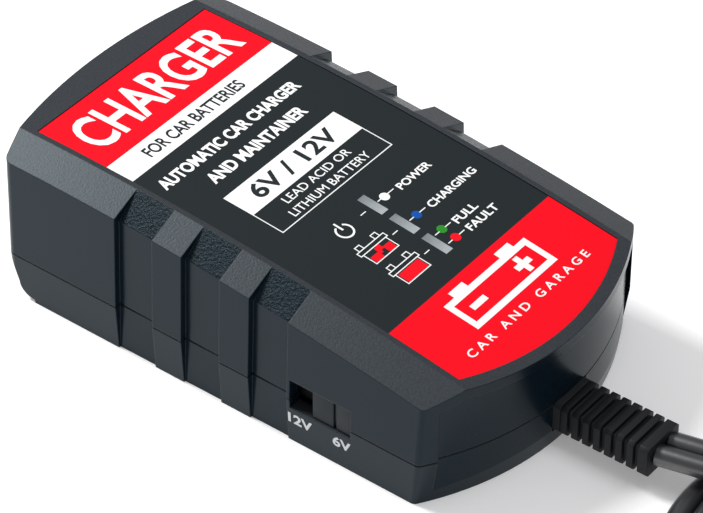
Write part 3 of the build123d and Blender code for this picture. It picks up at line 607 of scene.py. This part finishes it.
class CHARGER_OT_case(bpy.types.Operator):
    """Gives the case halves their moulded finish"""

    bl_idname = "charger.case"
    bl_label = "Case"

    def execute(self, context):
        material = case_material(context.scene.charger_case)
        for node in CASE_HALVES:
            wear(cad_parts[node], material)
        return {"FINISHED"}


def indicator_marks(line, thick):
    """Power dot, dashes, power sign and the lines of the two battery signs."""
    marks = [dot(*POWER_DOT, thick)]
    for x, spans in DASHES:
        marks += [rect(x - line / 2, x + line / 2, *span, thick) for span in spans]
    marks += [open_ring(*POWER_RING, thick, POWER_RING_GAP), rect(*POWER_BAR, thick)]
    for x in BATTERY_SIGNS:
        body, lid, terminal = [(x + low, x + high)
                               for low, high in (SIGN_BODY, SIGN_LID, SIGN_TERMINALS)]
        marks += outline(*body, *SIGN_BODY_Y, line, thick, skip="-X")
        marks += outline(lid[0], lid[1] + line, *SIGN_LID_Y, line, thick)
        for span in SIGN_TERMINALS_Y:
            marks += outline(terminal[0], terminal[1] + line, *span, line, thick, skip="+X")
    return marks


class CHARGER_OT_label(bpy.types.Operator):
    """Prints the face label: bands, lettering, boxes, indicator marks and pictograms"""

    bl_idname = "charger.label"
    bl_label = "Face label"

    def execute(self, context):
        label = context.scene.charger_label
        wear(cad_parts["face_label"], label_material(label))
        inks = {name: ink_material(f"{name} screen ink", getattr(label, name))
                for name in ("white", "black", "red", "blue", "green")}
        thick = 2 * label.ink
        line = label.line / MM

        for name, (ink, layer, lines) in LETTERING.items():
            laid_on_label(name, [words(*place, thick, weight) for *place, weight in lines],
                          inks[ink], label, layer)
        laid_on_label("voltage_box", [rect(*VOLTAGE_BAND, thick)]
                      + outline(*VOLTAGE_FRAME, line, thick), inks["white"], label)
        laid_on_label("indicator_marks", indicator_marks(line, thick), inks["white"], label)
        laid_on_label("pictogram_fills", [rect(*fill, thick) for fill in FILLS], inks["red"], label)
        for name, (ink, layer, *place) in DOTS.items():
            laid_on_label(name, [dot(*place, thick)], inks[ink], label, layer)
        laid_on_label("battery_pictogram", outline(*BATTERY_FRAME, BATTERY_LINE, thick)
                      + [rect(*part, thick) for part in BATTERY_PARTS], inks["white"], label)
        return {"FINISHED"}


class CHARGER_OT_selector(bpy.types.Operator):
    """Rounds the selector knob and prints its two positions on the side wall"""

    bl_idname = "charger.selector"
    bl_label = "Selector"

    def execute(self, context):
        case = context.scene.charger_case
        label = context.scene.charger_label
        knob = softened("selector_knob", "selector_button", 0.22, 3)
        wear(knob, grained("moulded ABS knob", "#1b2228", 0.42, 0.4, bump=0.2, gloss=0.2))
        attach(knob, KNOB_BODY)

        near_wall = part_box("lower_case")[0][1]
        signs = [words(text, 0, LEGEND_HEIGHT, *span, 2 * label.ink, weight)
                 for text, *span, weight in LEGEND]
        for sign in signs:
            for v in sign.data.vertices:
                x, up, out = v.co.y, LEGEND_HEIGHT * MM - v.co.x, v.co.z
                z = LEGEND_FOOT * MM + up
                wall = near_wall + WALL_LEAN * MM * (1 - z / case.parting)
                v.co = Vector((x, wall - out, z))
        signs = joined("selector_legend", signs)
        wear(signs, ink_material("pad printed grey ink", srgb("#d5d8da")))
        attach(signs, MAIN_BODY)
        return {"FINISHED"}


# ---------------------------------------------------------------- leads

# Points that each lead is bent round, in millimetres, from the strain relief to its coil
MAINS_ROUTE = [
    (80.6, 2.9, 7.5), (94.0, 5.4, 8.3), (110.0, 9.6, 7.0), (126.5, 10.2, 4.0), (140.5, 1.5, 2.4),
    (146.8, -13.5, 2.2), (144.0, -28.6, 2.2), (132.5, -39.2, 2.2), (116.0, -42.2, 2.2),
    (101.8, -35.2, 2.2), (93.7, -21.5, 2.2), (88.3, -2.0, 2.2), (92.7, 17.2, 2.2),
    (104.5, 30.0, 2.2), (121.5, 35.2, 2.2), (140.0, 34.8, 2.2), (160.0, 33.0, 2.2),
    (181.0, 32.3, 2.2), (202.0, 32.4, 2.2), (222.5, 32.2, 2.4),
]
BATTERY_ROUTE = [
    (80.6, -1.6, 7.5), (94.0, 0.9, 8.3), (110.5, 4.6, 8.7), (126.5, 6.2, 8.6), (141.0, -0.8, 7.0),
    (146.9, -15.0, 6.7), (143.6, -29.5, 6.7), (132.0, -38.9, 6.7), (116.2, -41.0, 6.7),
    (104.4, -32.4, 5.2), (98.2, -20.3, 2.6), (92.8, -1.6, 2.2), (97.0, 15.3, 2.2),
    (107.8, 26.4, 2.2), (122.9, 30.4, 2.2), (140.0, 29.6, 2.2), (156.0, 27.9, 2.2),
    (171.5, 27.2, 2.6),
]
# Strand places of each coil, as radius and height, in the order that they are wound
MAINS_STRANDS = [
    (24.0, 3.0), (19.6, 3.0), (19.6, 7.4), (24.0, 7.4), (28.4, 7.4), (28.4, 11.8), (24.0, 11.8),
    (19.6, 11.8),
]
BATTERY_STRANDS = [(26.2, 3.0), (21.8, 3.0), (21.8, 7.4), (26.2, 7.4)]
MAINS_COIL = (240.0, 8.2)
BATTERY_COIL = (179.5, 1.0)
# Tails, as angle on the coil, radius and height, up to the plug and the connector
MAINS_TAIL = [
    (36, 20.2, 12.0), (0, 20.6, 13.6), (-36, 23.0, 17.4), (-72, 25.2, 21.0), (-108, 25.23, 21.15),
]
BATTERY_TAIL = [
    (36, 26.0, 7.5), (0, 25.6, 8.4), (-36, 24.8, 11.6), (-72, 25.2, 13.6), (-108, 25.23, 13.7),
]
COIL_STEPS = 20
SHIFT_FROM = 0.84  # part of a turn after which it moves over to the next strand's place
LAST_TURN = 0.15  # part of the last strand that is wound before the tail


def on_coil(centre, degrees, r, z):
    """Point at an angle, radius and height on a coil, in millimetres."""
    turn = math.radians(degrees)
    return (centre[0] + r * math.cos(turn), centre[1] + r * math.sin(turn), z)


def wound(centre, strands, last):
    """Points of a coil wound clockwise from its north side, up to a part of the last strand."""
    points = []
    for i in range(1, int((len(strands) - 1 + last) * COIL_STEPS)):
        lap, part = divmod(i / COIL_STEPS, 1)
        r, z = strands[int(lap)]
        if part > SHIFT_FROM:
            share = (part - SHIFT_FROM) / (1 - SHIFT_FROM)
            r2, z2 = strands[int(lap) + 1]
            r, z = r + (r2 - r) * share, z + (z2 - z) * share
        points.append(on_coil(centre, 90 - 360 * part, r, z))
    return points


def flex(name, points, radius, material):
    """Round flexible lead along one smooth curve."""
    curve = bpy.data.curves.new(name, "CURVE")
    curve.dimensions = "3D"
    spline = curve.splines.new("NURBS")
    spline.points.add(len(points) - 1)
    for p, at in zip(spline.points, points):
        p.co = (at[0] * MM, at[1] * MM, at[2] * MM, 1)
    spline.order_u = 3
    spline.use_endpoint_u = True
    spline.resolution_u = 8
    curve.bevel_depth = radius
    curve.bevel_resolution = 6
    curve.use_fill_caps = True
    obj = bpy.data.objects.new(name, curve)
    bpy.context.collection.objects.link(obj)
    wear(obj, material)
    return obj


class CHARGER_OT_leads(bpy.types.Operator):
    """Routes the mains lead and the battery lead, each wound in a tied coil past the loop"""

    bl_idname = "charger.leads"
    bl_label = "Leads"

    def execute(self, context):
        leads = context.scene.charger_leads
        material = jacket_material(leads)
        relief = softened("strain_relief", "relief_boot", 0.28, 2)
        wear(relief, grained("soft PVC relief", "#0f1316", 0.55, 0.5,
                             bump=0.35, depth=0.05, gloss=0.3))
        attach(relief, MAIN_BODY)
        for kind, route, coil, strands, tail, length, end, extra in (
            ("mains", MAINS_ROUTE, MAINS_COIL, MAINS_STRANDS, MAINS_TAIL, leads.mains,
             "plug", ["mains_plug", "plug_pins", "mains_coil_ties"]),
            ("battery", BATTERY_ROUTE, BATTERY_COIL, BATTERY_STRANDS, BATTERY_TAIL, leads.battery,
             "connector", ["battery_connector", "connector_pin", "connector_socket",
                           "battery_coil_ties"]),
        ):
            points = route + wound(coil, strands, LAST_TURN)
            points += [on_coil(coil, *place) for place in tail]
            lead = flex(f"{kind}_flex", points, leads.diameter / 2, material)
            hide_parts(f"{kind}_lead", f"{kind}_coil", f"{kind}_tail")
            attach(lead, MAIN_BODY)
        return {"FINISHED"}


# ---------------------------------------------------------------- other finishes and stage

# Finish of each remaining node: hex colour, roughness, grain in mm and the rest of its build
FINISHES = {
    "moulded PVC plug": (("mains_plug", "battery_connector"), "#1a1b1e", 0.45, 0.5,
                         dict(bump=0.3, depth=0.04)),
    "nickel plated brass": (("plug_pins", "connector_pin", "connector_socket"), "#b9b2a0", 0.24,
                            0.8, dict(metallic=1.0, bump=0.1)),
    "nylon strap": (("mains_coil_ties", "battery_coil_ties"), "#101113", 0.5, 0.6,
                    dict(bump=0.4, depth=0.08)),
    "clear epoxy lens": (("power_led", "charge_led", "status_led"), "#dfe3e6", 0.1, 0.5,
                         dict(transmission=0.5)),
    "printed plate film": (("rating_plate",), "#8d9194", 0.4, 0.3, dict(bump=0.15)),
    "zinc plated steel": (("case_screws", "board_screws", "device_screws"), "#aeb2b8", 0.35, 0.4,
                          dict(metallic=1.0)),
    "glass fibre board": (("circuit_board",), "#1c5a33", 0.4, 0.6, dict(bump=0.4, depth=0.05)),
    "epoxy moulding": (("bridge_rectifier", "optocoupler", "charge_controller", "power_transistor",
                        "output_diode", "transformer_bobbin", "switch_body"), "#232323", 0.55, 0.4,
                       dict()),
    "yellow film capacitor": (("x_capacitor",), "#d8b13a", 0.35, 0.5, dict(coat=0.3)),
    "blue epoxy dip": (("varistor", "y_capacitor"), "#2c58a0", 0.3, 1.2, dict(bump=0.5, depth=0.1)),
    "shrink sleeve": (("input_capacitor", "output_capacitor"), "#1f2c4c", 0.25, 0.6,
                      dict(coat=0.4)),
    "sintered ferrite": (("choke_core", "transformer_core"), "#2a2a2d", 0.6, 0.5, dict(vary=0.3)),
    "enamelled copper": (("choke_windings", "transformer_winding"), "#b4622c", 0.3, 0.5,
                         dict(metallic=1.0, stretch=(1, 1, 5), bump=0.6, depth=0.1)),
    "rolled aluminium": (("heat_spreader",), "#b6b9bd", 0.35, 0.5,
                         dict(metallic=1.0, stretch=(6, 1, 1))),
    "phosphor bronze": (("contact_slider", "switch_terminals", "fuse_clips"), "#b98f55", 0.3, 0.4,
                        dict(metallic=1.0)),
    "fuse glass": (("fuse",), "#cfd8d8", 0.08, 1.0, dict(transmission=0.8, ior=1.5)),
    "wire insulation": (("mains_wires", "battery_wires"), "#202124", 0.4, 0.5, dict()),
}
# Lights: place, width, power in watts and tone
LIGHTS = {
    "key": ((-0.60, -0.11, 0.79), 0.3, 9, (1.0, 0.995, 0.985)),
    "fill": ((0.35, 0.1, 1.35), 0.8, 4.2, (0.98, 0.99, 1.0)),
}
LIGHTS_AIM = Vector((0.0, 0.0, 0.03))
SKY = 0.36
FLOOR_SIZE = 8
FLOOR_GLOW = 0.22
SENSOR = 36
WHITE = (1, 1, 1, 1)


class CHARGER_OT_finishes(bpy.types.Operator):
    """Gives every other node the finish of its real material"""

    bl_idname = "charger.finishes"
    bl_label = "Other finishes"

    def execute(self, context):
        for name, (nodes, hex_code, rough, grain, rest) in FINISHES.items():
            material = grained(name, hex_code, rough, grain, **rest)
            for node in nodes:
                wear(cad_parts[node], material)
        for node in LIGHT_GUIDES:
            wear(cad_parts[node], window_material(node))
        return {"FINISHED"}


def placed(name, data, place, target):
    """Object at a place, turned so that its -Z points at the target."""
    obj = bpy.data.objects.new(name, data)
    bpy.context.collection.objects.link(obj)
    obj.location = place
    obj.rotation_euler = (Vector(target) - Vector(place)).to_track_quat("-Z", "Y").to_euler()
    return obj


class CHARGER_OT_stage(bpy.types.Operator):
    """Sets the pale floor, the soft lights and the camera"""

    bl_idname = "charger.stage"
    bl_label = "Stage"

    def execute(self, context):
        stage = context.scene.charger_stage
        bpy.ops.object.select_all(action="DESELECT")
        bpy.ops.mesh.primitive_plane_add(size=FLOOR_SIZE, location=(0, 0, 0))
        floor = context.object
        floor.name = "studio_floor"
        material, _, shader, _ = new_material("matt studio floor")
        shader.inputs["Base Color"].default_value = shaded(stage.floor)
        shader.inputs["Roughness"].default_value = 0.9
        shader.inputs["Emission Color"].default_value = WHITE
        shader.inputs["Emission Strength"].default_value = FLOOR_GLOW
        shader.inputs["Specular IOR Level"].default_value = 0.1
        wear(floor, material)

        world = bpy.data.worlds.new("studio")
        context.scene.world = world
        world.use_nodes = True
        world.node_tree.nodes["Background"].inputs[0].default_value = WHITE
        world.node_tree.nodes["Background"].inputs[1].default_value = SKY

        for name, (place, width, power, tone) in LIGHTS.items():
            light = bpy.data.lights.new(name, "AREA")
            light.shape = "DISK"
            light.size = width
            light.energy = power
            light.color = tone
            placed(name, light, place, LIGHTS_AIM)

        camera = bpy.data.cameras.new("view")
        camera.lens = stage.lens
        camera.sensor_width = SENSOR
        camera.clip_start = 0.01
        context.scene.camera = placed("view", camera, stage.camera, stage.aim)
        context.scene.view_settings.view_transform = "Standard"
        return {"FINISHED"}


class CHARGER_PT_panel(bpy.types.Panel):
    """Lists the charger's pieces"""

    bl_idname = "CHARGER_PT_panel"
    bl_label = "Battery charger"
    bl_space_type = "VIEW_3D"
    bl_region_type = "UI"
    bl_category = "Charger"

    def draw(self, context):
        for group, steps in PANEL_ROWS:
            box = self.layout.box()
            values = getattr(context.scene, group)
            for key in values.__annotations__:
                box.prop(values, key)
            for step in steps:
                box.operator(step.bl_idname)


GROUPS = {
    "charger_case": CHARGER_PG_case,
    "charger_label": CHARGER_PG_label,
    "charger_leads": CHARGER_PG_leads,
    "charger_stage": CHARGER_PG_stage,
}
STEPS = (CHARGER_OT_case, CHARGER_OT_label, CHARGER_OT_selector, CHARGER_OT_leads,
         CHARGER_OT_finishes, CHARGER_OT_stage)
PANEL_ROWS = (
    ("charger_case", (CHARGER_OT_case, CHARGER_OT_selector, CHARGER_OT_finishes)),
    ("charger_label", (CHARGER_OT_label,)),
    ("charger_leads", (CHARGER_OT_leads,)),
    ("charger_stage", (CHARGER_OT_stage,)),
)


def register():
    for cls in (*GROUPS.values(), *STEPS, CHARGER_PT_panel):
        bpy.utils.register_class(cls)
    for name, group in GROUPS.items():
        setattr(bpy.types.Scene, name, PointerProperty(type=group))


def unregister():
    for name in GROUPS:
        delattr(bpy.types.Scene, name)
    for cls in reversed((*GROUPS.values(), *STEPS, CHARGER_PT_panel)):
        bpy.utils.unregister_class(cls)


def main():
    """Builds every piece."""
    register()
    bpy.ops.charger.case()
    bpy.ops.charger.label()
    bpy.ops.charger.selector()
    bpy.ops.charger.leads()
    bpy.ops.charger.finishes()
    bpy.ops.charger.stage()


if __name__ == "__main__":
    main()
